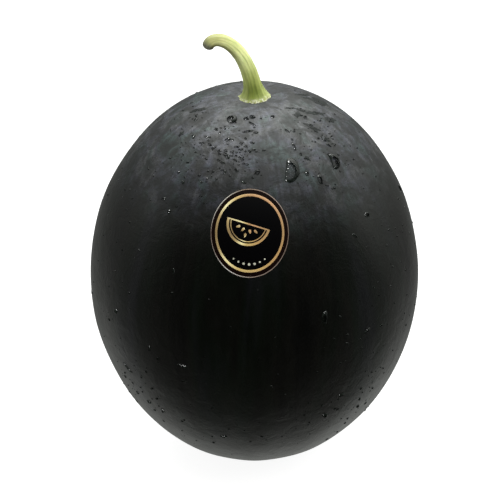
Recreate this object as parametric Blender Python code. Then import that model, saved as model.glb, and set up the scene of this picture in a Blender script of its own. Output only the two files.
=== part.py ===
"""A dark-rinded watermelon that stands on its blossom end.

It is three pieces: the fruit, the hooked stalk it was cut with, and an oval label.
Metres, +Z up.  The origin is the centre of the flat spot that the fruit rests on.
The label faces -Y and the stalk hooks over towards -X.
"""
import math

import bmesh
import bpy
from mathutils import Matrix, Quaternion, Vector
from mathutils.geometry import interpolate_bezier

GAP = 0.0003                 # clearance between pieces that touch

# Fruit: an upright ellipsoid with a flat spot below and a dimple at the stalk
GIRTH_RADIUS = 0.112
HALF_HEIGHT = 0.1345
FLAT_RADIUS = 0.021          # the part of the underside that is truly flat
FLAT_ROUNDING = 0.001        # how deep the flat's rounded edge reaches
DIMPLE_DEPTH = 0.0043
DIMPLE_RADIUS = 0.022
FRUIT_SEGMENTS = 64
FRUIT_RINGS = 34

# Stalk: a cubic curve in the plane of the hook, swept with a changing radius
STALK_RISE = Vector((-0.0036, 0.0, 0.0404))
STALK_BEND = Vector((-0.0269, -0.0010, 0.0465))
STALK_TIP = Vector((-0.0303, -0.0015, 0.0378))
STALK_ROOT_RADIUS = 0.0060
STALK_END_RADIUS = 0.0038
FLARE_EXTRA = 0.0046         # what the foot adds to the radius where it meets the rind
FLARE_HEIGHT = 0.0048
FLARE_SHARPNESS = 1.3
STALK_SIDES = 18
STALK_STATIONS = 30
TIP_DEPTH = 0.0028           # how far the rounded tip reaches past the end of the curve
TIP_STATIONS = 4

# Label: an oval of foil that follows the rind
LABEL_WIDTH = 0.050
LABEL_HEIGHT = 0.057
LABEL_THICKNESS = 0.0004
LABEL_LATITUDE = math.radians(34.0)
LABEL_TURN = math.radians(-2.1)
LABEL_SEGMENTS = 48
LABEL_RINGS = 5


def centre_height():
    """Height of the ellipsoid's centre above the floor."""
    reach = math.sqrt(1.0 - (FLAT_RADIUS / GIRTH_RADIUS) ** 2)
    return HALF_HEIGHT * reach - FLAT_ROUNDING


def dimple_at(radius):
    return DIMPLE_DEPTH * math.exp(-(radius / DIMPLE_RADIUS) ** 2)


def top_height(radius):
    """Height of the rind round the stalk, at a distance from the axis."""
    cap = HALF_HEIGHT * math.sqrt(1.0 - (radius / GIRTH_RADIUS) ** 2)
    return centre_height() + cap - dimple_at(radius)


def soft_max(value, floor, rounding):
    """The larger of two heights, with the corner between them rounded."""
    blend = max(rounding - abs(value - floor), 0.0) / rounding
    return max(value, floor) + blend * blend * rounding / 4.0


def fruit_profile():
    """Points from the edge of the flat spot up the side to the stalk's dimple."""
    start = -math.acos(FLAT_RADIUS / GIRTH_RADIUS)
    points = []
    for ring in range(FRUIT_RINGS + 1):
        latitude = start + (math.pi / 2.0 - start) * ring / FRUIT_RINGS
        radius = GIRTH_RADIUS * math.cos(latitude)
        height = centre_height() + HALF_HEIGHT * math.sin(latitude)
        if latitude < 0.0:
            height = soft_max(height, 0.0, FLAT_ROUNDING)
        else:
            height -= dimple_at(radius)
        points.append(Vector((radius, 0.0, height)))
    points[0].z = 0.0
    points[-1].x = 0.0
    return points


def principled(name, color, roughness, metallic=0.0):
    material = bpy.data.materials.new(name)
    material.use_nodes = True
    shader = material.node_tree.nodes["Principled BSDF"]
    shader.inputs["Base Color"].default_value = (*color, 1.0)
    shader.inputs["Roughness"].default_value = roughness
    shader.inputs["Metallic"].default_value = metallic
    return material


def add_piece(name, bm, material):
    """Make an object from a finished bmesh, shaded smooth with crisp corners."""
    bmesh.ops.recalc_face_normals(bm, faces=bm.faces)
    mesh = bpy.data.meshes.new(name)
    bm.to_mesh(mesh)
    bm.free()
    mesh.shade_smooth()
    mesh.set_sharp_from_angle(angle=math.radians(40.0))
    mesh.materials.append(material)
    piece = bpy.data.objects.new(name, mesh)
    bpy.context.scene.collection.objects.link(piece)
    return piece


def turn_profile(bm, points, segments):
    """Spin a line of points once round the Z axis and merge what meets on it."""
    verts = [bm.verts.new(point) for point in points]
    edges = [bm.edges.new(pair) for pair in zip(verts, verts[1:])]
    bmesh.ops.spin(
        bm, geom=verts + edges, cent=(0.0, 0.0, 0.0), axis=(0.0, 0.0, 1.0),
        angle=2.0 * math.pi, steps=segments, use_merge=True,
    )
    bmesh.ops.remove_doubles(bm, verts=bm.verts, dist=1e-6)


def make_fruit():
    bm = bmesh.new()
    turn_profile(bm, fruit_profile(), FRUIT_SEGMENTS)
    rim = [edge for edge in bm.edges if edge.is_boundary]
    bmesh.ops.holes_fill(bm, edges=rim, sides=0)
    rind = principled("dark rind", (0.008, 0.013, 0.009), 0.35)
    return add_piece("melon", bm, rind)


def stalk_radius(distance, length):
    """Radius of the stalk at a distance along it from the rind."""
    taper = distance / length
    shaft = STALK_ROOT_RADIUS + (STALK_END_RADIUS - STALK_ROOT_RADIUS) * taper
    flare = FLARE_EXTRA * math.exp(-(distance / FLARE_HEIGHT) ** FLARE_SHARPNESS)
    return shaft + flare


def stalk_stations():
    """Centre, direction and radius of each cross-section, from the foot over the rounded tip."""
    origin = Vector((0.0, 0.0, 0.0))
    fine = interpolate_bezier(origin, STALK_RISE, STALK_BEND, STALK_TIP, 400)
    travel = [0.0]
    for near, far in zip(fine, fine[1:]):
        travel.append(travel[-1] + (far - near).length)
    length = travel[-1]
    stations = []
    for step in range(STALK_STATIONS + 1):
        share = step / STALK_STATIONS
        distance = length * share ** 1.25
        index = min(sum(1 for mark in travel if mark < distance), len(fine) - 2)
        direction = (fine[index + 1] - fine[index]).normalized()
        radius = stalk_radius(distance, length)
        stations.append((fine[index], direction, radius))
    end, direction, radius = stations[-1]
    for step in range(1, TIP_STATIONS + 1):
        turn = math.radians(80.0) * step / TIP_STATIONS
        stations.append((end + direction * TIP_DEPTH * math.sin(turn), direction, radius * math.cos(turn)))
    return stations


def make_stalk():
    """Sweep a circle up the hooked curve by extruding its edge from ring to ring."""
    stations = stalk_stations()
    foot_radius = stations[0][2]
    rest = max(top_height(foot_radius * step / 20.0) for step in range(21)) + GAP
    bm = bmesh.new()
    bmesh.ops.create_circle(bm, cap_ends=True, radius=foot_radius, segments=STALK_SIDES)
    ring = bm.edges[:]
    last_centre, last_turn, last_radius = Vector(), Quaternion(), foot_radius
    for centre, direction, radius in stations[1:]:
        lifted = bmesh.ops.extrude_edge_only(bm, edges=ring)["geom"]
        verts = [item for item in lifted if isinstance(item, bmesh.types.BMVert)]
        edges = [item for item in lifted if isinstance(item, bmesh.types.BMEdge)]
        ring = [edge for edge in edges if edge.verts[0] in verts and edge.verts[1] in verts]
        turn = direction.to_track_quat("Z", "Y")
        for vert in verts:
            spoke = last_turn.inverted() @ (vert.co - last_centre) / last_radius
            vert.co = centre + turn @ (spoke * radius)
        last_centre, last_turn, last_radius = centre, turn, radius
    bmesh.ops.holes_fill(bm, edges=ring, sides=0)
    bmesh.ops.translate(bm, vec=(0.0, 0.0, rest), verts=bm.verts)
    skin = principled("green stalk", (0.50, 0.56, 0.20), 0.5)
    return add_piece("stem", bm, skin)


def label_point(across, up, lift):
    """Place a point of the flat label on the rind, lifted off it along the normal."""
    across_axis = Vector((1.0, 0.0, 0.0))
    centre = Vector((
        0.0, -GIRTH_RADIUS * math.cos(LABEL_LATITUDE), HALF_HEIGHT * math.sin(LABEL_LATITUDE),
    ))
    squash = Vector((1.0 / GIRTH_RADIUS, 1.0 / GIRTH_RADIUS, 1.0 / HALF_HEIGHT))
    normal = (centre * squash * squash).normalized()
    up_axis = normal.cross(across_axis)
    flat = centre + across_axis * across + up_axis * up
    start = flat * squash
    step = -normal * squash
    half = start.dot(step)
    square = step.dot(step)
    drop = (-half - math.sqrt(half * half - square * (start.dot(start) - 1.0))) / square
    landed = flat - normal * drop
    outward = (landed * squash * squash).normalized()
    return landed + outward * lift


def make_label():
    """Spin a thin wafer of unit radius, then lay each of its points on the rind."""
    wafer = [Vector((step / LABEL_RINGS, 0.0, GAP)) for step in range(LABEL_RINGS + 1)]
    upper = [Vector((point.x, 0.0, GAP + LABEL_THICKNESS)) for point in reversed(wafer)]
    bm = bmesh.new()
    turn_profile(bm, wafer + upper, LABEL_SEGMENTS)
    for vert in bm.verts:
        flat = vert.co.copy()
        vert.co = label_point(flat.x * LABEL_WIDTH / 2.0, flat.y * LABEL_HEIGHT / 2.0, flat.z)
        vert.co.z += centre_height()
    turn = Matrix.Rotation(LABEL_TURN, 3, "Z")
    bmesh.ops.rotate(bm, cent=(0.0, 0.0, 0.0), matrix=turn, verts=bm.verts)
    foil = principled("black foil", (0.006, 0.005, 0.005), 0.25)
    return add_piece("label", bm, foil)


def main():
    for item in list(bpy.data.objects):
        bpy.data.objects.remove(item, do_unlink=True)
    make_fruit()
    make_stalk()
    make_label()


main()
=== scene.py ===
import math
import random

import bmesh
import bpy
from mathutils import Matrix, Quaternion, Vector, noise
from mathutils.geometry import interpolate_bezier


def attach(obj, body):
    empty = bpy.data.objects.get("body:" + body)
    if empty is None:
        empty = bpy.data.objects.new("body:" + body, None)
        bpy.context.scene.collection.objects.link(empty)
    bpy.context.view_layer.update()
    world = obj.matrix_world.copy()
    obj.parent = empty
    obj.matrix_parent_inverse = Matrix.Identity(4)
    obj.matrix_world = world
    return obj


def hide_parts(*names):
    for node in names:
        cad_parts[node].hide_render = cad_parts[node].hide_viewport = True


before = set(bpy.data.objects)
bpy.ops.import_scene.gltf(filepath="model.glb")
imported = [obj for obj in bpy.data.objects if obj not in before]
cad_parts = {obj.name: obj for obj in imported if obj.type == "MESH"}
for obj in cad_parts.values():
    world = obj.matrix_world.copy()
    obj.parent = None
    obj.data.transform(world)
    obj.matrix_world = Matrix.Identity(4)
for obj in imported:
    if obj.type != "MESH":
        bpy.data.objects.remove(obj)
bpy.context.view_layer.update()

# A dark-rinded watermelon that stands on its blossom end, with the hooked stalk it was cut
# with, an oval foil label and water standing on the rind.  The label faces -Y.

# The fruit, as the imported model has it
GIRTH_RADIUS = 0.112
HALF_HEIGHT = 0.1345
FLAT_RADIUS = 0.021
FLAT_ROUNDING = 0.001
DIMPLE_DEPTH = 0.0043
DIMPLE_RADIUS = 0.022
CENTRE_HEIGHT = HALF_HEIGHT * math.sqrt(1.0 - (FLAT_RADIUS / GIRTH_RADIUS) ** 2) - FLAT_ROUNDING
SQUASH = Vector((1.0 / GIRTH_RADIUS, 1.0 / GIRTH_RADIUS, 1.0 / HALF_HEIGHT))
RIND_SEGMENTS = 300
RIND_RINGS = 180

# How the grown rind strays from the plain oval
RIB_COUNT = 9
RIB_DEPTH = 0.00038
DENT_DEPTH = 0.00045
RIPPLE_DEPTH = 0.00006
EVEN_WITHIN = 0.024          # round the label's middle, the rind is even up to here
UNEVEN_BEYOND = 0.040
BLOSSOM_SCAR_DEPTH = 0.0008
BLOSSOM_SCAR_RADIUS = 0.0035

# Where the rind's colours change: heights above the fruit's middle, over which the bloom and a painted
# sheen from the overhead light come in, and distances from the scar
BLOOM_AND_SHEEN_START = 0.064
BLOOM_AND_SHEEN_FULL = 0.132
SCAR_CORE = 0.0020
SCAR_EDGE = 0.0065

# The stalk: a cubic curve from its foot, in the plane of the hook, swept with a changing radius
STALK_RISE = Vector((-0.0036, 0.0, 0.0404))
STALK_BEND = Vector((-0.0269, -0.0010, 0.0465))
STALK_TIP = Vector((-0.0303, -0.0015, 0.0378))
STALK_ROOT_RADIUS = 0.0060
STALK_END_RADIUS = 0.0038
FLARE_EXTRA = 0.0046         # what the foot adds to the radius where it meets the rind
FLARE_HEIGHT = 0.0048
FLARE_SHARPNESS = 1.3
STALK_RIBS = 5
STALK_SIDES = 80
STALK_STATIONS = 130
STATION_CROWDING = 1.25      # above 1 crowds the cross-sections towards the foot
TIP_DEPTH = 0.0028           # how far the rounded tip reaches past the end of the curve
TIP_STATIONS = 9
TIP_TURN = math.radians(84.0)
FOOT_GAP = 0.0001            # between the foot and the rind
FOOT_SETTLE = 0.03           # the share of the stalk that follows the rind's slope

# The label.  Its prints are drawn on a disc of unit radius and laid on the rind.
LABEL_WIDTH = 0.050
LABEL_HEIGHT = 0.057
LABEL_LATITUDE = math.radians(34.6)
LABEL_TURN = math.radians(-2.1)
LABEL_RINGS = 14
LABEL_SEGMENTS = 128
FOIL_GAP = 0.00004           # from the rind to the back of the foil
FOIL_LIFT = 0.00030          # from the rind to the face of the foil
FOIL_EDGE = 0.997            # where the face turns over, as a share of the outline
PRINT_LIFT = 0.00008         # how far the print stands off the foil
PRINT_SUNK = 0.00002         # how far it is let into the foil
RING_BEVEL = 0.12            # sloped part of a printed ring, as a share of its width
RING_SEGMENTS = 144
DOTS_EACH_SIDE = 3
DOT_SIZE = 0.034             # radius of the middle dot
DOT_SHRINK = 0.0045          # how much smaller each next dot is
DOT_STEP = math.radians(11.5)
DOT_REACH = 0.70             # radius of the arc of dots
SLICE_LEAN = math.radians(-16.0)
SLICE_PLACE = (-0.03, 0.20, 0.0)
SLICE_WIDTH = 1.12
SLICE_CUT = 0.036            # width of the printed line along the cut
SLICE_RIND = (0.500, 0.560)  # inner and outer radius of an arc
SLICE_INNER_LINE = (0.440, 0.462)
SLICE_SEEDS = ((-150.0, 0.27), (-118.0, 0.20), (-90.0, 0.30), (-62.0, 0.20), (-30.0, 0.27))
SEED_SIZE = (0.042, 0.058)

MM = 0.001

# Water standing on the rind.  A bead is a dome on a disc of unit radius, later stretched.
BLUNTNESS = 0.18             # how much fuller than an ellipse a bead's ends are
BLUNT_LIMIT = 0.03           # keeps the very ends closed
TAPER = 0.10                 # how much wider the upper half is
CURL_REST = 0.35             # keeps a curled bead centred on its place
SUNK = 0.00015               # how deep a bead's underside lies in the rind
# Painted shade: a bead is left dark round its rim and most of all on the side away from this place.
UNSHADED_PLACE = (-0.24, -0.12)     # where on its disc a bead is clearest
BIG_DROP_THICKNESS = 2.1 * MM
BIG_DROP_FLATNESS = 0.75     # below 1 fills out the crown
SMALL_DROP_THICKNESS = 0.34  # share of the drop's shorter side
SPECK_THICKNESS = 0.36       # share of the speck's height
WET_PATCH_THICKNESS = 0.2 * MM
# Each drop: azimuth and latitude in degrees, width and height in millimetres, lean in
# degrees, and how far its ends curl to one side.
BIG_DROPS = (
    (20.4, 52.6, 9.2, 17.4, -21, -0.36),
    (48.1, 51.6, 6.6, 11, -16, -0.45),
    (-26, 72.6, 6.6, 7, 20, 0.10),
)
SMALL_DROPS = (
    (28.2, 50.9, 3, 3.4, 0, 0), (34, 48, 3.4, 6.4, -8, 0.15), (27.4, 60.4, 1.9, 6.4, -10, -0.4),
    (28.4, 67, 1.7, 4.2, 26, 0.2), (28.6, 63.2, 1.8, 2.4, 10, 0), (34, 66, 1.9, 1.6, 0, 0),
    (29.5, 57.5, 1.8, 2.6, 0, 0.3), (52, 59, 1.8, 2.8, 30, 0), (52, 57, 1.6, 4.4, 30, 0.2),
    (57, 69.5, 3, 2.2, 20, 0), (23, 74.5, 2.6, 2.4, 0, 0.2), (-10, 74, 3.6, 3, 30, 0.3),
    (-3.5, 75, 3.8, 3.4, 0, -0.5), (-3, 71.5, 1.8, 6.4, 52, 0), (-6, 68, 7, 1.9, 18, 0.2),
    (1, 67.5, 3.4, 1.7, 10, 0), (-62, 67, 2.2, 2.6, 0, 0), (-35, 67, 2.4, 2, 0, 0),
    (-30, 66, 1.2, 2.8, -12, 0.2), (-38, 63, 4, 1.7, 0, 0), (-48, 61.5, 2.8, 3.4, 20, 0.4),
    (-20.5, 64, 4.4, 2.6, 40, 0.3), (-17, 64, 1.6, 2, 0, 0), (-12, 61.5, 2.6, 1.6, 24, 0.2),
    (-6.5, 62, 2.6, 1.8, 30, 0), (-17, 57.5, 3.4, 2.6, -20, 0.3), (-9, 60.8, 2.8, 1.8, 10, 0.3),
    (-3.5, 60.2, 2.6, 2, -24, 0), (-12.5, 56.8, 2.8, 1.7, 16, 0.2), (-7.5, 57.2, 2.4, 2.4, 50, 0.4),
    (-4.5, 55.5, 2.6, 1.6, 0, 0), (-19, 55.5, 2.8, 1.7, 10, 0), (1.5, 53, 3.6, 3.2, 40, -0.5),
    (-10, 53.2, 2.4, 1.8, 0, 0), (-16.5, 52.5, 2, 2.6, 0, 0), (-37, 46.5, 2.6, 2.2, 0, 0),
    (-42, 49, 2.2, 1.8, 30, 0), (-25, 49, 1.1, 4.6, 6, 0.2), (-5.5, 49.6, 2.8, 1.5, 0, 0),
    (-38, 37, 2.2, 2.8, 0, 0.2), (-43, 40, 3.2, 1.8, 30, 0.5), (-30, 21, 1.3, 3.4, 4, 0),
    (24, 8.5, 4.4, 7.6, -8, 0.3), (-52, -16, 8, 1.7, -32, 0.2), (-45, -27, 3.6, 2.6, -10, 0),
    (-51, -25.5, 2.4, 2.2, 0, 0), (-38, -28, 3, 2.2, -20, 0.3), (-25, -7, 6.6, 2, -8, 0.5),
    (-13, -35, 5, 2.4, 4, 0), (28, -27, 3.6, 3.8, 0, 0.2), (33, -19.5, 5, 2.2, 22, 0.2),
    (45, -29, 2.4, 2.8, 30, 0), (42, -20, 2, 1.8, 0, 0), (43.5, -25, 1.9, 2.6, 0, 0),
    (41, 0.5, 6.4, 1.9, 28, 0.2), (48, 0, 2.6, 1.8, 20, 0), (51, 33, 4.2, 3.6, 0, 0.3),
    (41, 29, 1.8, 4.4, 40, 0), (-55, 2, 2.8, 3.4, 0, 0.3), (-38, -4, 2, 2.4, 0, 0),
    (-80, -2, 2, 4, 0, 0), (86, 30, 2.2, 5, 0, 0.2), (132, 48, 4.2, 6.6, -12, 0.25),
    (158, 56, 4, 6.2, 8, -0.2), (-140, 52, 4.6, 7.4, 16, 0.3), (-168, 38, 3.4, 5.2, 0, 0.1),
)
# Thin wet patches with ragged outlines: azimuth, latitude, width, height, lean
WET_PATCHES = (
    (102, 67, 9, 15, 30), (108, 72, 4, 10, 30), (77, 62.6, 5, 8, 40),
    (76, 67, 3, 8, 34), (52.5, 65, 3.8, 9, 16), (56.5, 75.6, 6, 2, -50),
    (64, 72.6, 7, 2, -66), (69.5, 69, 3, 7, 40), (51.8, 71.4, 4.4, 4, 0),
    (54.5, 58.8, 2.2, 5, 24), (32, 55.5, 2.6, 3.6, 0), (-130, 60, 6, 4, 20),
    (170, 64, 5, 7, 0), (-74, 70, 4, 9, -30), (-60, 60, 3, 5, 10),
)
# Clusters of specks: azimuth, latitude and their spreads in degrees, how many there are,
# and the smallest and largest in millimetres
SPECK_CLUSTERS = (
    (-12, 58, 9, 3.6, 60, 0.7, 1.9),
    (-34, 53, 16, 7, 130, 0.4, 1.5),
    (54, 60, 10, 6.5, 70, 0.5, 1.7),
    (-40, 69, 40, 4, 45, 0.5, 1.6),
    (36, 55, 9, 7, 40, 0.4, 1.3),
    (-46, -20, 11, 10, 60, 0.5, 1.9),
    (40, -20, 9, 11, 75, 0.5, 2),
    (0, -34, 22, 6, 40, 0.4, 1.6),
    (64, 20, 13, 20, 60, 0.4, 1.6),
    (-58, 18, 12, 20, 50, 0.4, 1.4),
)
STRAY_SPECKS = 420
STRAY_SIZES = (0.4, 1.5)
HIGHEST_SPECK = 78.0         # latitude in degrees, clear of the stalk's foot

# The camera looks down on the fruit from the front
VIEW_ELEVATION = math.radians(27.0)
VIEW_DISTANCE = 1.6
LENS = 167.8                 # millimetres
SENSOR_WIDTH = 36.0
FAR_CLIP = 50.0
AIM_ABOVE = 0.0154           # where it aims, from the fruit's middle
AIM_LEFT = 0.0031

FLOOR_REACH = 6.0


# ---------------------------------------------------------------- mesh helpers

def finish_piece(name, bm, material, smooth_angle=40.0):
    """Turn a finished bmesh into an object that rides on the fruit's one body."""
    bmesh.ops.recalc_face_normals(bm, faces=bm.faces)
    mesh = bpy.data.meshes.new(name)
    bm.to_mesh(mesh)
    bm.free()
    mesh.shade_smooth()
    mesh.set_sharp_from_angle(angle=math.radians(smooth_angle))
    mesh.materials.append(material)
    piece = bpy.data.objects.new(name, mesh)
    bpy.context.scene.collection.objects.link(piece)
    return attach(piece, "root")


def turn_profile(bm, points, segments):
    """Spin a line of points once round the Z axis and merge what meets on it."""
    verts = [bm.verts.new(point) for point in points]
    edges = [bm.edges.new(pair) for pair in zip(verts, verts[1:])]
    bmesh.ops.spin(
        bm, geom=verts + edges, cent=(0.0, 0.0, 0.0), axis=(0.0, 0.0, 1.0),
        angle=2.0 * math.pi, steps=segments, use_merge=True,
    )
    bmesh.ops.remove_doubles(bm, verts=bm.verts, dist=1e-7)


def smoothstep(low, high, value):
    share = min(max((value - low) / (high - low), 0.0), 1.0)
    return share * share * (3.0 - 2.0 * share)


# ---------------------------------------------------------------- the rind's shape

def oval_point(azimuth, latitude):
    """A point of the plain oval; azimuth 0 is the front, positive to the right."""
    radius = GIRTH_RADIUS * math.cos(latitude)
    return Vector((
        radius * math.sin(azimuth), -radius * math.cos(azimuth), HALF_HEIGHT * math.sin(latitude),
    ))


def oval_normal(point):
    return (point * SQUASH * SQUASH).normalized()


def label_clearance(point):
    """0 under the label, where the rind is kept even, and 1 away from it."""
    away = (point - oval_point(LABEL_TURN, LABEL_LATITUDE)).length
    return smoothstep(EVEN_WITHIN, UNEVEN_BEYOND, away)


def swell(point, azimuth, latitude):
    """How far the grown rind stands proud of the plain oval at a point."""
    way = point.normalized()
    sway = noise.noise(way * 1.7 + Vector((4.0, 1.0, 7.0)))
    rib = math.cos(RIB_COUNT * azimuth + 2.2 * sway) * RIB_DEPTH
    dent = noise.noise(way * 2.6 + Vector((1.5, 8.0, 2.0))) * DENT_DEPTH
    ripple = noise.noise(way * 14.0) * RIPPLE_DEPTH
    away_from_poles = smoothstep(0.2, 0.9, math.cos(latitude))
    return (rib * away_from_poles + dent + ripple) * label_clearance(point)


def rind_point(azimuth, latitude):
    """A point of the rind in the row frame, with its swells, dimple and flat spot."""
    point = oval_point(azimuth, latitude)
    radius = math.hypot(point.x, point.y)
    on_flat = smoothstep(FLAT_RADIUS * 2.2, FLAT_RADIUS, radius) if latitude < 0.0 else 0.0
    point += oval_normal(point) * (swell(point, azimuth, latitude) * (1.0 - on_flat))
    height = point.z + CENTRE_HEIGHT
    if latitude < 0.0:
        blend = max(FLAT_ROUNDING - abs(height), 0.0) / FLAT_ROUNDING
        height = max(height, 0.0) + blend * blend * FLAT_ROUNDING / 4.0
        height += BLOSSOM_SCAR_DEPTH * math.exp(-(radius / BLOSSOM_SCAR_RADIUS) ** 2)
    else:
        height -= DIMPLE_DEPTH * math.exp(-(radius / DIMPLE_RADIUS) ** 2)
    return Vector((point.x, point.y, height))


def make_rind(material):
    """Spin half an oval round the axis, then move each point to where the rind has it."""
    bm = bmesh.new()
    arc = []
    for ring in range(RIND_RINGS + 1):
        latitude = -math.pi / 2.0 + math.pi * ring / RIND_RINGS
        arc.append(Vector((GIRTH_RADIUS * math.cos(latitude), 0.0, HALF_HEIGHT * math.sin(latitude))))
    arc[0].x = 0.0
    arc[-1].x = 0.0
    turn_profile(bm, arc, RIND_SEGMENTS)
    for vert in bm.verts:
        latitude = math.asin(max(-1.0, min(1.0, vert.co.z / HALF_HEIGHT)))
        azimuth = math.atan2(vert.co.x, -vert.co.y)
        vert.co = rind_point(azimuth, latitude)
    rind = finish_piece("rind", bm, material)
    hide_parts("melon")
    return rind


# ---------------------------------------------------------------- the stalk

def stalk_radius(distance, length):
    """Mean radius of the stalk at a distance along it from the rind."""
    taper = distance / length
    shaft = STALK_ROOT_RADIUS + (STALK_END_RADIUS - STALK_ROOT_RADIUS) * taper
    flare = FLARE_EXTRA * math.exp(-(distance / FLARE_HEIGHT) ** FLARE_SHARPNESS)
    return shaft + flare


def stalk_stations():
    """Centre, direction, radius and share of the length of each cross-section, foot to tip."""
    fine = interpolate_bezier(Vector(), STALK_RISE, STALK_BEND, STALK_TIP, 900)
    travel = [0.0]
    for near, far in zip(fine, fine[1:]):
        travel.append(travel[-1] + (far - near).length)
    length = travel[-1]
    stations = []
    index = 0
    for step in range(STALK_STATIONS + 1):
        distance = length * (step / STALK_STATIONS) ** STATION_CROWDING
        while index < len(fine) - 2 and travel[index] < distance:
            index += 1
        direction = (fine[index + 1] - fine[index]).normalized()
        stations.append((fine[index], direction, stalk_radius(distance, length), distance / length))
    end, direction, radius, _ = stations[-1]
    for step in range(1, TIP_STATIONS + 1):
        turn = TIP_TURN * step / TIP_STATIONS
        beyond = end + direction * TIP_DEPTH * math.sin(turn)
        stations.append((beyond, direction, radius * math.cos(turn), 1.0))
    return stations


def rind_height_at(x, y):
    """Height of the rind near the stalk, for the foot to sit on."""
    cap = HALF_HEIGHT * math.sqrt(1.0 - (x * x + y * y) / GIRTH_RADIUS ** 2)
    return CENTRE_HEIGHT + cap - DIMPLE_DEPTH * math.exp(-(x * x + y * y) / DIMPLE_RADIUS ** 2)


def stalk_relief(angle, share):
    """Ribs, grooves, knobs and ragged foot of the stalk, as a factor on its radius."""
    foot = math.exp(-share / 0.035)
    tip = smoothstep(0.88, 1.0, share)
    ribs = 0.040 * math.cos(STALK_RIBS * angle + 1.1 + 0.9 * share)
    grooves = 0.020 * math.cos(3 * STALK_RIBS * angle + 0.4 - 1.5 * share)
    around = Vector((math.cos(angle), math.sin(angle), 0.0))
    knobs = 0.035 * noise.noise(around * 2.0 + Vector((0.0, 0.0, share * 14.0)))
    scallop = 0.06 * noise.noise(around * 3.4 + Vector((0.0, 0.0, 5.0)))
    crumbs = 0.05 * noise.noise(around * 9.0 + Vector((2.0, 0.0, share * 90.0)))
    shaft = (ribs + grooves) * (1.0 - 0.7 * foot) * (1.0 - 0.6 * tip)
    return 1.0 + shaft + knobs + (scallop + crumbs) * foot + 0.03 * tip


def make_stalk(material):
    """Extrude a circle's edge from ring to ring, then send each ring to its cross-section."""
    stations = stalk_stations()
    rest = rind_height_at(0.0, 0.0)
    bm = bmesh.new()
    along = bm.verts.layers.float.new("along")
    fibre = bm.verts.layers.float_vector.new("fibre")
    bmesh.ops.create_circle(bm, cap_ends=True, radius=1.0, segments=STALK_SIDES)
    ring = bm.edges[:]
    base = bm.verts[:]
    angles = {vert: math.atan2(vert.co.y, vert.co.x) for vert in base}
    rings = [base]
    for _ in stations[1:]:
        lifted = bmesh.ops.extrude_edge_only(bm, edges=ring)["geom"]
        verts = [item for item in lifted if isinstance(item, bmesh.types.BMVert)]
        fresh = set(verts)
        edges = [item for item in lifted if isinstance(item, bmesh.types.BMEdge)]
        ring = [edge for edge in edges if edge.verts[0] in fresh and edge.verts[1] in fresh]
        for vert in verts:
            angles[vert] = math.atan2(vert.co.y, vert.co.x)
        rings.append(verts)
    for verts, (centre, direction, radius, share) in zip(rings, stations):
        turn = direction.to_track_quat("Z", "Y")
        for vert in verts:
            angle = angles[vert]
            reach = radius * stalk_relief(angle, share)
            place = centre + turn @ Vector((math.cos(angle) * reach, math.sin(angle) * reach, 0.0))
            ground = rind_height_at(place.x, place.y) - rest
            place.z = max(place.z, 0.0) + ground * math.exp(-share / FOOT_SETTLE)
            vert.co = place + Vector((0.0, 0.0, rest + FOOT_GAP))
            vert[along] = share
            vert[fibre] = Vector((math.cos(angle), math.sin(angle), share))
    bmesh.ops.contextual_create(bm, geom=ring)
    stalk = finish_piece("stalk", bm, material, smooth_angle=60.0)
    stalk.visible_glossy = False
    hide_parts("stem")
    return stalk


# ---------------------------------------------------------------- the label

def label_point(across, up, lift):
    """Lay a point of the flat label on the rind, lifted along the rind's normal."""
    centre = oval_point(0.0, LABEL_LATITUDE)
    normal = oval_normal(centre)
    side = Vector((1.0, 0.0, 0.0))
    flat = centre + side * across + normal.cross(side) * up
    start = flat * SQUASH
    step = -normal * SQUASH
    half = start.dot(step)
    square = step.dot(step)
    drop = (-half - math.sqrt(half * half - square * (start.dot(start) - 1.0))) / square
    landed = flat - normal * drop
    place = landed + oval_normal(landed) * lift
    place.rotate(Quaternion((0.0, 0.0, 1.0), LABEL_TURN))
    return place + Vector((0.0, 0.0, CENTRE_HEIGHT))


def lay_on_label(bm, name, material):
    """Map a flat print, drawn on a unit disc with its height in metres, on to the rind."""
    chart = bm.loops.layers.uv.new("chart")
    for face in bm.faces:
        for loop in face.loops:
            loop[chart].uv = (loop.vert.co.x, loop.vert.co.y)
    for vert in bm.verts:
        spot = vert.co.copy()
        vert.co = label_point(spot.x * LABEL_WIDTH / 2.0, spot.y * LABEL_HEIGHT / 2.0, spot.z)
    piece = finish_piece(name, bm, material)
    return piece


def make_label_face(material):
    """The foil itself, a thin wafer that covers the whole oval."""
    bottom = [Vector((step / LABEL_RINGS, 0.0, FOIL_GAP)) for step in range(LABEL_RINGS + 1)]
    top = [Vector((point.x, 0.0, FOIL_LIFT)) for point in reversed(bottom)]
    top[0].x = FOIL_EDGE
    bm = bmesh.new()
    turn_profile(bm, bottom + top, LABEL_SEGMENTS)
    face = lay_on_label(bm, "label_foil", material)
    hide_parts("label")
    return face


def make_label_ring(name, inner, outer, lift, material):
    """A flat printed band between two shares of the label's outline."""
    edge = (outer - inner) * RING_BEVEL
    band = [
        Vector((inner, 0.0, FOIL_LIFT - PRINT_SUNK)),
        Vector((inner + edge, 0.0, FOIL_LIFT + lift)),
        Vector((outer - edge, 0.0, FOIL_LIFT + lift)),
        Vector((outer, 0.0, FOIL_LIFT - PRINT_SUNK)),
    ]
    bm = bmesh.new()
    turn_profile(bm, band + [band[0].copy()], RING_SEGMENTS)
    return lay_on_label(bm, name, material)


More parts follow.
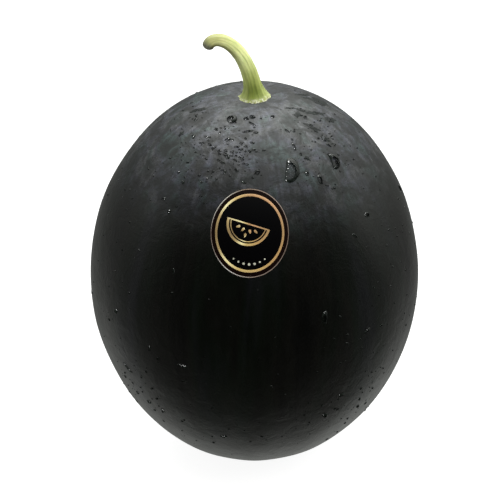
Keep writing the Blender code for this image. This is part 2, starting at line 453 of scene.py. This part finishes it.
def make_label_dots(material):
    """An arc of round dots along the foot of the label, the largest in the middle."""
    bm = bmesh.new()
    for step in range(-DOTS_EACH_SIDE, DOTS_EACH_SIDE + 1):
        angle = -math.pi / 2.0 + step * DOT_STEP
        size = DOT_SIZE - DOT_SHRINK * abs(step)
        dome = bmesh.ops.create_uvsphere(bm, u_segments=16, v_segments=8, radius=size)["verts"]
        bmesh.ops.scale(bm, vec=(1.0, LABEL_WIDTH / LABEL_HEIGHT, PRINT_LIFT / size), verts=dome)
        place = (DOT_REACH * math.cos(angle), DOT_REACH * math.sin(angle), FOIL_LIFT)
        bmesh.ops.translate(bm, vec=place, verts=dome)
    return lay_on_label(bm, "label_dots", material)


def add_print_arc(bm, inner, outer):
    """Half a flat ring of print, open side up."""
    low, high = FOIL_LIFT - PRINT_SUNK, FOIL_LIFT + PRINT_LIFT
    corners = ((-inner, low), (-inner, high), (-outer, high), (-outer, low))
    verts = [bm.verts.new((x, 0.0, z)) for x, z in corners]
    section = bm.faces.new(verts)
    bmesh.ops.spin(
        bm, geom=[section], cent=(0.0, 0.0, 0.0), axis=(0.0, 0.0, 1.0),
        angle=math.pi, steps=36, use_merge=False,
    )


def add_print_bar(bm, length, width):
    """A straight bar of print, divided so that it can follow the rind."""
    made = bmesh.ops.create_cube(bm, size=1.0)["verts"]
    bmesh.ops.scale(bm, vec=(length, width, PRINT_LIFT), verts=made)
    bmesh.ops.translate(bm, vec=(0.0, 0.0, FOIL_LIFT + PRINT_LIFT / 2.0), verts=made)
    edges = {edge for vert in made for edge in vert.link_edges}
    lengthwise = [
        edge for edge in edges if abs(edge.verts[0].co.x - edge.verts[1].co.x) > length / 2.0
    ]
    bmesh.ops.subdivide_edges(bm, edges=lengthwise, cuts=23, use_grid_fill=True)


def make_label_slice(material):
    """A plain melon slice in gold print: two arcs of rind, a cut edge and five seeds."""
    bm = bmesh.new()
    add_print_arc(bm, *SLICE_RIND)
    add_print_arc(bm, *SLICE_INNER_LINE)
    add_print_bar(bm, SLICE_WIDTH, SLICE_CUT)
    for angle, reach in SLICE_SEEDS:
        way = math.radians(angle)
        seed = bmesh.ops.create_uvsphere(bm, u_segments=14, v_segments=8, radius=1.0)["verts"]
        for vert in seed:
            vert.co.x *= 0.72 - 0.28 * vert.co.y
        bmesh.ops.scale(bm, vec=(*SEED_SIZE, PRINT_LIFT), verts=seed)
        turn = Matrix.Rotation(way + math.pi / 2.0 + math.pi, 3, "Z")
        bmesh.ops.rotate(bm, cent=(0.0, 0.0, 0.0), matrix=turn, verts=seed)
        place = (reach * math.cos(way), reach * math.sin(way), FOIL_LIFT)
        bmesh.ops.translate(bm, vec=place, verts=seed)
    lean = Matrix.Rotation(SLICE_LEAN, 3, "Z")
    bmesh.ops.rotate(bm, cent=(0.0, 0.0, 0.0), matrix=lean, verts=bm.verts)
    bmesh.ops.scale(bm, vec=(1.0, LABEL_WIDTH / LABEL_HEIGHT, 1.0), verts=bm.verts)
    bmesh.ops.translate(bm, vec=SLICE_PLACE, verts=bm.verts)
    return lay_on_label(bm, "label_slice", material)


# ---------------------------------------------------------------- water on the rind

def lay_on_rind(verts, azimuth, latitude):
    """Wrap vertices, drawn flat round the origin in metres, on to the rind at a place."""
    climb = math.hypot(GIRTH_RADIUS * math.sin(latitude), HALF_HEIGHT * math.cos(latitude))
    girth = GIRTH_RADIUS * math.cos(latitude)
    for vert in verts:
        here = (azimuth + vert.co.x / girth, latitude + vert.co.y / climb)
        vert.co = rind_point(*here) + oval_normal(oval_point(*here)) * vert.co.z


def add_bead(pool, azimuth, latitude, size, thickness, lean, curl, ragged, fine, flatness=1.0):
    """Add one bead of water: a blunt-ended dome with its lower half pressed flat into the rind.

    The clearness attribute is 0 underneath and round the rim, and 1 where the bead is clearest; where
    it is low, the water's dark colour is painted shade.
    """
    bm = bmesh.new()
    clear_of_painted_shade = bm.verts.layers.float.new("clear_of_painted_shade")
    bmesh.ops.create_uvsphere(bm, u_segments=2 * fine, v_segments=fine, radius=1.0)
    for vert in bm.verts:
        x, y, z = vert.co
        unrest = noise.noise(Vector((x * 1.7 + azimuth, y * 1.7, latitude)))
        edge = 1.0 + ragged * unrest * math.hypot(x, y)
        blunt = max(1.0 - y * y, BLUNT_LIMIT) ** -BLUNTNESS
        bend = curl * (y * y - CURL_REST)
        across = (x * (1.0 + TAPER * y) * blunt + bend) * size[0] / 2.0 * edge
        lift = thickness * z ** flatness if z > 0.0 else SUNK * z
        vert.co = Vector((across, y * size[1] / 2.0 * edge, lift))
        away = math.hypot(x - UNSHADED_PLACE[0], y - UNSHADED_PLACE[1])
        vert[clear_of_painted_shade] = max(1.0 - away, 0.0) if z > 0.0 else 0.0
    turn = Matrix.Rotation(math.radians(lean), 3, "Z")
    bmesh.ops.rotate(bm, cent=(0.0, 0.0, 0.0), matrix=turn, verts=bm.verts)
    lay_on_rind(bm.verts, math.radians(azimuth), math.radians(latitude))
    mesh = bpy.data.meshes.new("bead")
    bm.to_mesh(mesh)
    bm.free()
    pool.from_mesh(mesh)
    bpy.data.meshes.remove(mesh)


def new_pool():
    """An empty bmesh that gathers beads with their clearness, which sets how much painted shade they
    show.
    """
    pool = bmesh.new()
    pool.verts.layers.float.new("clear_of_painted_shade")
    return pool


def make_drops(material):
    """The drops that stand out one by one, each at a listed place."""
    pool = new_pool()
    for azimuth, latitude, width, height, lean, curl in BIG_DROPS:
        add_bead(
            pool, azimuth, latitude, (width * MM, height * MM), BIG_DROP_THICKNESS, lean, curl,
            ragged=0.1, fine=24, flatness=BIG_DROP_FLATNESS,
        )
    for azimuth, latitude, width, height, lean, curl in SMALL_DROPS:
        thickness = SMALL_DROP_THICKNESS * min(width, height) * MM
        add_bead(
            pool, azimuth, latitude, (width * MM, height * MM), thickness, lean, curl,
            ragged=0.35, fine=12,
        )
    drops = finish_piece("water_drops", pool, material)
    return drops


def make_wet_patches(material):
    """Thin films with ragged outlines, where drops have run or dried."""
    pool = new_pool()
    for azimuth, latitude, width, height, lean in WET_PATCHES:
        add_bead(
            pool, azimuth, latitude, (width * MM, height * MM), WET_PATCH_THICKNESS, lean,
            curl=0.2, ragged=1.1, fine=20,
        )
    patches = finish_piece("wet_patches", pool, material)
    return patches


def add_speck(pool, chance, azimuth, latitude, smallest, largest):
    """One small bead of a random size and shape, unless it would lie under the label."""
    size = (smallest + (largest - smallest) * chance.random() ** 2.2) * MM
    stretch = chance.uniform(1.0, 1.9)
    lean = chance.uniform(-35.0, 35.0)
    place = oval_point(math.radians(azimuth), math.radians(latitude))
    if abs(latitude) < HIGHEST_SPECK and label_clearance(place) > 0.5:
        add_bead(
            pool, azimuth, latitude, (size * stretch, size), SPECK_THICKNESS * size, lean,
            curl=0.1, ragged=0.4, fine=4,
        )


def make_specks(material):
    """Fine specks: clusters where the water gathered, and strays all over."""
    chance = random.Random(7)
    pool = new_pool()
    for azimuth, latitude, wide, tall, count, smallest, largest in SPECK_CLUSTERS:
        for _ in range(count):
            spot = (chance.gauss(azimuth, wide), chance.gauss(latitude, tall))
            add_speck(pool, chance, *spot, smallest, largest)
    for _ in range(STRAY_SPECKS):
        azimuth = chance.uniform(-180.0, 180.0)
        latitude = math.degrees(math.asin(chance.uniform(-0.75, 0.97)))
        add_speck(pool, chance, azimuth, latitude, *STRAY_SIZES)
    specks = finish_piece("water_specks", pool, material)
    return specks


# ---------------------------------------------------------------- materials

def add(tree, kind, inputs=None, **settings):
    """Add a node; inputs are values or the sockets that feed them."""
    made = tree.nodes.new("ShaderNode" + kind)
    for name, value in settings.items():
        setattr(made, name, value)
    for socket, value in (inputs or {}).items():
        if isinstance(value, bpy.types.NodeSocket):
            tree.links.new(value, made.inputs[socket])
        else:
            made.inputs[socket].default_value = value
    return made


def ramp(tree, factor, stops):
    """A colour ramp from (position, colour) pairs."""
    made = add(tree, "ValToRGB", {"Fac": factor})
    elements = made.color_ramp.elements
    while len(elements) < len(stops):
        elements.new(0.5)
    for element, (position, color) in zip(elements, stops):
        element.position = position
        element.color = (*color, 1.0)
    return made.outputs["Color"]


def blend(tree, factor, low, high, mode="MIX"):
    """Mix two colours, each a socket or a triple."""
    made = add(tree, "Mix", data_type="RGBA", blend_type=mode)
    for socket, value in ((made.inputs[0], factor), (made.inputs[6], low), (made.inputs[7], high)):
        if isinstance(value, bpy.types.NodeSocket):
            tree.links.new(value, socket)
        elif isinstance(value, tuple):
            socket.default_value = (*value, 1.0)
        else:
            socket.default_value = value
    return made.outputs[2]


def math_node(tree, operation, first, second=0.0):
    made = add(tree, "Math", {0: first, 1: second}, operation=operation)
    return made.outputs[0]


def spread(tree, value, low, high, out_low=0.0, out_high=1.0):
    """Stretch a range of a value to another, with soft ends."""
    made = add(tree, "MapRange", {
        "Value": value, "From Min": low, "From Max": high, "To Min": out_low, "To Max": out_high,
    }, interpolation_type="SMOOTHSTEP")
    return made.outputs["Result"]


def new_material(name, roughness, metallic=0.0):
    material = bpy.data.materials.new(name)
    material.use_nodes = True
    shader = material.node_tree.nodes["Principled BSDF"]
    shader.inputs["Roughness"].default_value = roughness
    shader.inputs["Metallic"].default_value = metallic
    return material, material.node_tree, shader


def noise_field(tree, place, scale, detail=4.0, roughness=0.5, distortion=0.0):
    """A cloudy value between 0 and 1."""
    made = add(tree, "TexNoise", {
        "Vector": place, "Scale": scale, "Detail": detail, "Roughness": roughness,
        "Distortion": distortion,
    })
    return made.outputs["Fac"]


def scaled_sum(tree, value, scale, offset):
    """value * scale + offset."""
    made = add(tree, "Math", {0: value, 1: scale, 2: offset}, operation="MULTIPLY_ADD")
    return made.outputs[0]


def make_rind_material():
    """Near-black waxy rind: faint pole-to-pole bands, mottled bloom that also carries a painted sheen
    over the top, water marks and pores.
    """
    material, tree, shader = new_material("melon_rind", 0.38)
    place = add(tree, "TexCoord").outputs["Object"]
    middle = (0.0, 0.0, CENTRE_HEIGHT)
    centred = add(tree, "VectorMath", {0: place, 1: middle}, operation="SUBTRACT").outputs[0]
    parts = add(tree, "SeparateXYZ", {0: centred})
    ring_way = add(tree, "CombineXYZ", {0: parts.outputs[0], 1: parts.outputs[1], 2: 0.0}).outputs[0]
    ring_way = add(tree, "VectorMath", {0: ring_way}, operation="NORMALIZE").outputs[0]
    height = math_node(tree, "MULTIPLY", parts.outputs[2], 1.1)
    lift = add(tree, "CombineXYZ", {2: height}).outputs[0]
    along = add(tree, "VectorMath", {0: ring_way, 1: lift}, operation="ADD").outputs[0]

    bands = noise_field(tree, along, 3.6, 3.0, 0.55, 0.35)
    threads = noise_field(tree, along, 15.0, 4.0, 0.6, 0.6)
    cloud = noise_field(tree, centred, 42.0, 4.0, 0.6, 0.4)
    mottle = noise_field(tree, centred, 75.0, 5.0, 0.66, 0.6)
    blots = noise_field(tree, centred, 230.0, 4.0, 0.65, 0.4)
    grain = noise_field(tree, centred, 700.0, 3.0, 0.6)

    skin = ramp(tree, bands, [
        (0.34, (0.0006, 0.0006, 0.0005)), (0.46, (0.0020, 0.0019, 0.0013)),
        (0.56, (0.0013, 0.0022, 0.0011)), (0.68, (0.0030, 0.0032, 0.0040)),
    ])
    thread_tint = ramp(tree, threads, [(0.35, (0.65, 0.65, 0.65)), (0.65, (1.30, 1.38, 1.26))])
    skin = blend(tree, 0.7, skin, thread_tint, "MULTIPLY")
    # The blue-grey bloom tint and the mask that lifts it towards the top are partly the rind's waxy
    # bloom and partly a painted sheen, where the overhead light is reflected.
    bloom_and_sheen_tint = ramp(tree, cloud, [
        (0.38, (0.060, 0.090, 0.092)), (0.47, (0.092, 0.096, 0.132)), (0.56, (0.120, 0.122, 0.134)),
        (0.64, (0.072, 0.096, 0.100)),
    ])
    upper = spread(tree, parts.outputs[2], BLOOM_AND_SHEEN_START, BLOOM_AND_SHEEN_FULL, 0.006, 1.0)
    patch = spread(tree, mottle, 0.42, 0.58)
    blotch = spread(tree, blots, 0.42, 0.58)
    patch_share = scaled_sum(tree, patch, 0.66, 0.24)
    blotch_share = scaled_sum(tree, blotch, 0.5, 0.5)
    thread_share = spread(tree, threads, 0.40, 0.58, 0.55, 1.0)
    worn_bloom_and_sheen = math_node(tree, "MULTIPLY", patch_share, blotch_share)
    worn_bloom_and_sheen = math_node(tree, "MULTIPLY", worn_bloom_and_sheen, thread_share)
    bloom_and_sheen = math_node(tree, "MULTIPLY", worn_bloom_and_sheen, upper)
    color = blend(tree, bloom_and_sheen, skin, bloom_and_sheen_tint)

    scar_way = add(tree, "VectorMath", {0: place}, operation="LENGTH").outputs["Value"]
    scar = spread(tree, scar_way, SCAR_EDGE, SCAR_CORE)
    color = blend(tree, scar, color, (0.11, 0.075, 0.040))
    tree.links.new(color, shader.inputs["Base Color"])

    dull = scaled_sum(tree, patch, -0.17, 0.13)
    dull = math_node(tree, "ADD", dull, math_node(tree, "MULTIPLY", blotch, -0.06))
    dull = math_node(tree, "MULTIPLY", dull, upper)
    rough = math_node(tree, "ADD", dull, scaled_sum(tree, patch, -0.03, 0.32))
    tree.links.new(rough, shader.inputs["Roughness"])
    shader.inputs["IOR"].default_value = 1.46

    pores = add(tree, "Bump", {"Strength": 0.5, "Distance": 0.00006, "Height": grain})
    creases = add(tree, "Bump", {
        "Strength": 0.3, "Distance": 0.0003, "Height": blots, "Normal": pores.outputs[0],
    })
    waves = add(tree, "Bump", {
        "Strength": 0.5, "Distance": 0.0010, "Height": mottle, "Normal": creases.outputs[0],
    })
    tree.links.new(waves.outputs[0], shader.inputs["Normal"])
    return material


def make_water_material():
    """Still water on black rind with painted shade: dark round its rim, most on its upper right, as
    the dim rind seen through it; clearer left of its crown, with a clean gloss.
    """
    material, tree, shader = new_material("standing_water", 0.05)
    place = add(tree, "TexCoord").outputs["Object"]
    clear_of_painted_shade = add(tree, "Attribute", attribute_name="clear_of_painted_shade").outputs["Fac"]
    depth = noise_field(tree, place, 160.0, 2.0)
    color = ramp(tree, depth, [(0.35, (0.0020, 0.0030, 0.0022)), (0.65, (0.0050, 0.0066, 0.0054))])
    tree.links.new(color, shader.inputs["Base Color"])
    # Painted shade: low clearness makes the drop opaque and dark, round its rim and away from the
    # light.
    tree.links.new(spread(tree, clear_of_painted_shade, 0.16, 0.44, 0.96, 0.10), shader.inputs["Alpha"])
    shader.inputs["IOR"].default_value = 1.40
    return material


def make_wet_rind_material():
    """Rind darkened by a thin film of water, duller than a standing drop."""
    material, tree, shader = new_material("wet_rind", 0.30)
    place = add(tree, "TexCoord").outputs["Object"]
    depth = noise_field(tree, place, 260.0, 3.0)
    color = ramp(tree, depth, [(0.35, (0.0040, 0.0060, 0.0050)), (0.65, (0.0130, 0.0180, 0.0170))])
    tree.links.new(color, shader.inputs["Base Color"])
    tree.links.new(spread(tree, depth, 0.36, 0.50, 0.45, 0.90), shader.inputs["Alpha"])
    shader.inputs["Specular IOR Level"].default_value = 0.18
    return material


def make_stalk_material():
    """Pale green stalk: yellower on top, olive near the foot, with a crumbly pale rim and painted
    shade under the hook.
    """
    material, tree, shader = new_material("stalk_skin", 0.44)
    place = add(tree, "TexCoord").outputs["Object"]
    share = add(tree, "Attribute", attribute_name="along").outputs["Fac"]
    fibre = add(tree, "Attribute", attribute_name="fibre").outputs["Vector"]
    streaks = noise_field(tree, fibre, 4.2, 4.0, 0.62, 0.3)
    patches = noise_field(tree, place, 130.0, 3.0, 0.55)
    crumbs = noise_field(tree, place, 620.0, 3.0, 0.6)
    color = ramp(tree, share, [
        (0.00, (0.60, 0.65, 0.28)), (0.06, (0.48, 0.54, 0.18)), (0.16, (0.40, 0.46, 0.13)),
        (0.33, (0.52, 0.57, 0.20)), (0.52, (0.82, 0.86, 0.42)), (0.74, (0.78, 0.80, 0.38)),
        (0.94, (0.50, 0.50, 0.22)), (1.00, (0.12, 0.12, 0.09)),
    ])
    streak_tint = ramp(tree, streaks, [
        (0.34, (0.62, 0.66, 0.48)), (0.50, (0.96, 0.98, 0.92)), (0.66, (1.14, 1.12, 1.10)),
    ])
    color = blend(tree, 0.8, color, streak_tint, "MULTIPLY")
    around = add(tree, "SeparateXYZ", {0: fibre})
    # Painted shade: the underside of the hook is darkened along its middle.
    painted_underside_shade = spread(tree, around.outputs[1], 0.12, -0.60)
    painted_underside_shade = math_node(tree, "MULTIPLY", painted_underside_shade, spread(tree, share, 0.20, 0.70))
    color = blend(tree, painted_underside_shade, color, (0.26, 0.26, 0.20), "MULTIPLY")
    front = spread(tree, around.outputs[0], 0.62, 0.98)
    front = math_node(tree, "MULTIPLY", front, spread(tree, share, 0.42, 0.12))
    color = blend(tree, front, color, (0.56, 0.60, 0.38), "MULTIPLY")
    patch_tint = ramp(tree, patches, [(0.36, (0.84, 0.88, 0.76)), (0.62, (1.08, 1.06, 1.02))])
    color = blend(tree, 0.7, color, patch_tint, "MULTIPLY")
    rim = spread(tree, share, 0.055, 0.015)
    color = blend(tree, math_node(tree, "MULTIPLY", rim, 0.75), color, (0.56, 0.60, 0.24))
    pale = math_node(tree, "MULTIPLY", rim, spread(tree, crumbs, 0.47, 0.56))
    pale = math_node(tree, "MULTIPLY", pale, spread(tree, around.outputs[0], 0.0, 0.7, 0.15, 1.0))
    color = blend(tree, pale, color, (0.88, 0.88, 0.64))
    tree.links.new(color, shader.inputs["Base Color"])
    shader.inputs["Subsurface Weight"].default_value = 0.15
    shader.inputs["Subsurface Radius"].default_value = (0.4, 0.5, 0.15)
    shader.inputs["Subsurface Scale"].default_value = 0.004
    ridges = add(tree, "Bump", {"Strength": 0.5, "Distance": 0.0006, "Height": streaks})
    fine = add(tree, "Bump", {
        "Strength": 0.4, "Distance": 0.00025, "Height": crumbs, "Normal": ridges.outputs[0],
    })
    tree.links.new(fine.outputs[0], shader.inputs["Normal"])
    return material


def make_foil_material():
    """Black gloss label face, turning a warm brown-black outside the gold ring."""
    material, tree, shader = new_material("label_black", 0.30)
    shader.inputs["Specular IOR Level"].default_value = 0.1
    chart = add(tree, "UVMap", uv_map="chart").outputs[0]
    reach = add(tree, "VectorMath", {0: chart}, operation="LENGTH").outputs["Value"]
    color = ramp(tree, reach, [
        (0.0, (0.0008, 0.0008, 0.0011)), (0.80, (0.0009, 0.0008, 0.0011)),
        (0.90, (0.0050, 0.0018, 0.0012)), (1.0, (0.0060, 0.0022, 0.0016)),
    ])
    grain = noise_field(tree, chart, 60.0, 3.0)
    grain_tint = ramp(tree, grain, [(0.3, (0.7, 0.7, 0.7)), (0.7, (1.3, 1.3, 1.3))])
    color = blend(tree, 0.3, color, grain_tint, "MULTIPLY")
    tree.links.new(color, shader.inputs["Base Color"])
    return material


def round_ramp(tree, chart, stops):
    """A colour ramp that runs once round the label, anticlockwise from its left."""
    parts = add(tree, "SeparateXYZ", {0: chart})
    angle = math_node(tree, "ARCTAN2", parts.outputs[1], parts.outputs[0])
    turn = scaled_sum(tree, angle, 0.5 / math.pi, 0.5)
    return ramp(tree, turn, stops)


def make_gold_material():
    """Printed gold that runs from pale yellow to copper round the ring."""
    material, tree, shader = new_material("label_gold", 0.38, 0.12)
    chart = add(tree, "UVMap", uv_map="chart").outputs[0]
    color = round_ramp(tree, chart, [
        (0.00, (0.27, 0.18, 0.08)), (0.07, (0.42, 0.30, 0.13)), (0.13, (0.98, 0.86, 0.46)),
        (0.20, (0.66, 0.48, 0.18)), (0.38, (0.52, 0.31, 0.12)), (0.52, (0.40, 0.25, 0.11)),
        (0.64, (0.60, 0.34, 0.17)), (0.76, (0.50, 0.30, 0.14)), (0.82, (0.66, 0.48, 0.20)),
        (0.875, (0.98, 0.88, 0.50)), (0.93, (0.48, 0.34, 0.15)), (1.00, (0.27, 0.18, 0.08)),
    ])
    grain = noise_field(tree, chart, 90.0, 2.0)
    grain_tint = ramp(tree, grain, [(0.3, (0.8, 0.8, 0.8)), (0.7, (1.2, 1.2, 1.2))])
    color = blend(tree, 0.25, color, grain_tint, "MULTIPLY")
    tree.links.new(color, shader.inputs["Base Color"])
    return material


def make_edge_material():
    """Cut edge of the label: dull bronze, silvery where it turns to the upper and lower left."""
    material, tree, shader = new_material("label_edge", 0.35, 0.1)
    chart = add(tree, "UVMap", uv_map="chart").outputs[0]
    color = round_ramp(tree, chart, [
        (0.00, (0.17, 0.12, 0.10)), (0.08, (0.26, 0.22, 0.19)), (0.15, (0.66, 0.64, 0.60)),
        (0.26, (0.30, 0.23, 0.19)), (0.50, (0.18, 0.13, 0.10)), (0.64, (0.34, 0.26, 0.22)),
        (0.78, (0.24, 0.17, 0.12)), (0.87, (0.66, 0.64, 0.58)), (1.00, (0.17, 0.12, 0.10)),
    ])
    tree.links.new(color, shader.inputs["Base Color"])
    return material


def make_dot_material():
    """Pale silvery print of the small dots."""
    material, tree, shader = new_material("label_silver", 0.38, 0.1)
    chart = add(tree, "UVMap", uv_map="chart").outputs[0]
    grain = noise_field(tree, chart, 40.0, 3.0)
    color = ramp(tree, grain, [(0.3, (0.46, 0.46, 0.37)), (0.7, (0.62, 0.61, 0.50))])
    tree.links.new(color, shader.inputs["Base Color"])
    return material


# ---------------------------------------------------------------- camera and light

def look_at(thing, target):
    thing.rotation_euler = (target - thing.location).to_track_quat("-Z", "Y").to_euler()


def add_camera():
    camera = bpy.data.objects.new("camera", bpy.data.cameras.new("camera"))
    camera.data.lens = LENS
    camera.data.sensor_width = SENSOR_WIDTH
    camera.data.clip_end = FAR_CLIP
    back = Vector((0.0, -math.cos(VIEW_ELEVATION), math.sin(VIEW_ELEVATION)))
    up = Vector((0.0, math.sin(VIEW_ELEVATION), math.cos(VIEW_ELEVATION)))
    aim = Vector((-AIM_LEFT, 0.0, CENTRE_HEIGHT)) + up * AIM_ABOVE
    camera.location = aim + back * VIEW_DISTANCE
    look_at(camera, aim)
    bpy.context.scene.collection.objects.link(camera)
    bpy.context.scene.camera = camera


def add_softbox(name, way, distance, width, height, radiance, color=(1.0, 1.0, 1.0), glossy=True):
    """A rectangular soft light that faces the fruit, of a given brightness per area."""
    light = bpy.data.lights.new(name, "AREA")
    light.shape = "RECTANGLE"
    light.size = width
    light.size_y = height
    light.energy = radiance * math.pi * width * height
    light.color = color
    lamp = bpy.data.objects.new(name, light)
    middle = Vector((0.0, 0.0, CENTRE_HEIGHT))
    lamp.location = middle + Vector(way).normalized() * distance
    look_at(lamp, middle)
    lamp.visible_camera = False
    lamp.visible_glossy = glossy
    bpy.context.scene.collection.objects.link(lamp)
    return lamp


def add_lights():
    add_softbox("stalk_key", (0.62, -0.55, 0.75), 1.3, 0.5, 0.5, 4.2, (1.0, 0.99, 0.95), glossy=False)
    add_softbox("front_fill", (0.3, -1.0, 0.5), 1.8, 1.2, 0.9, 0.9, glossy=False)


def add_glints(drops):
    """Two windows that light only the drops, for their crisp highlights."""
    wet = bpy.data.collections.new("wet")
    wet.objects.link(drops)
    glints = (
        add_softbox("high_window", (-0.30, -0.10, 0.93), 1.4, 0.40, 1.00, 23.0),
        add_softbox("front_window", (-0.55, -0.82, 0.10), 1.7, 0.80, 0.60, 22.0),
    )
    for lamp in glints:
        lamp.light_linking.receiver_collection = wet


def lobe(tree, way, toward, width, strength):
    """Light that is brightest towards one direction and fades smoothly away from it."""
    dot = add(tree, "VectorMath", {0: way, 1: Vector(toward).normalized()}, operation="DOT_PRODUCT")
    miss = math_node(tree, "SUBTRACT", dot.outputs["Value"], 1.0)
    fall = math_node(tree, "MULTIPLY", miss, 1.0 / width)
    return math_node(tree, "MULTIPLY", math_node(tree, "EXPONENT", fall), strength)


def add_world():
    """A room, dark in front and paler behind, with a wide soft light overhead and a pale table."""
    world = bpy.data.worlds.new("room")
    bpy.context.scene.world = world
    world.use_nodes = True
    tree = world.node_tree
    way = add(tree, "TexCoord").outputs["Generated"]
    parts = add(tree, "SeparateXYZ", {0: way})
    lobes = (
        ((0.12, 0.37, 0.92), 0.22, 3.60),      # the wide light overhead
        ((-0.34, 0.36, 0.87), 0.035, 2.00),    # its brighter left side
        ((0.94, 0.20, 0.30), 0.07, 0.46),      # a pale wall on the right
        ((-0.90, 0.12, 0.42), 0.09, 0.37),     # a pale wall on the left
        ((0.36, 0.48, -0.80), 0.09, 0.51),     # the table behind, right
        ((-0.45, 0.45, -0.77), 0.11, 0.38),    # the table behind, left
        ((0.0, 0.36, -0.93), 0.16, 0.03),      # the table behind, in the middle
    )
    glow = spread(tree, parts.outputs[1], -1.0, 0.2, 0.004, 0.095)
    for toward, width, strength in lobes:
        glow = math_node(tree, "ADD", glow, lobe(tree, way, toward, width, strength))
    background = tree.nodes["Background"]
    background.inputs["Color"].default_value = (0.975, 1.0, 0.955, 1.0)
    tree.links.new(glow, background.inputs["Strength"])


def add_floor():
    """A white translucent table, lit a little from below, that runs out of sight."""
    material, _, shader = new_material("white_table", 0.9)
    shader.inputs["Base Color"].default_value = (0.32, 0.32, 0.32, 1.0)
    shader.inputs["Emission Color"].default_value = (1.0, 1.0, 1.0, 1.0)
    shader.inputs["Emission Strength"].default_value = 0.92
    bm = bmesh.new()
    bmesh.ops.create_grid(bm, x_segments=1, y_segments=1, size=FLOOR_REACH)
    mesh = bpy.data.meshes.new("floor")
    bm.to_mesh(mesh)
    bm.free()
    mesh.materials.append(material)
    floor = bpy.data.objects.new("floor", mesh)
    floor.visible_glossy = False
    bpy.context.scene.collection.objects.link(floor)


# ---------------------------------------------------------------- the scene

bpy.context.scene.view_settings.view_transform = "Standard"
add_camera()
add_lights()
add_world()
add_floor()
make_rind(make_rind_material())
make_stalk(make_stalk_material())
make_label_face(make_foil_material())
gold = make_gold_material()
make_label_ring("label_edge_line", 0.976, 0.995, PRINT_LIFT * 0.5, make_edge_material())
make_label_ring("label_gold_ring", 0.824, 0.882, PRINT_LIFT, gold)
make_label_dots(make_dot_material())
make_label_slice(gold)
water = make_water_material()
add_glints(make_drops(water))
make_specks(water)
make_wet_patches(make_wet_rind_material())
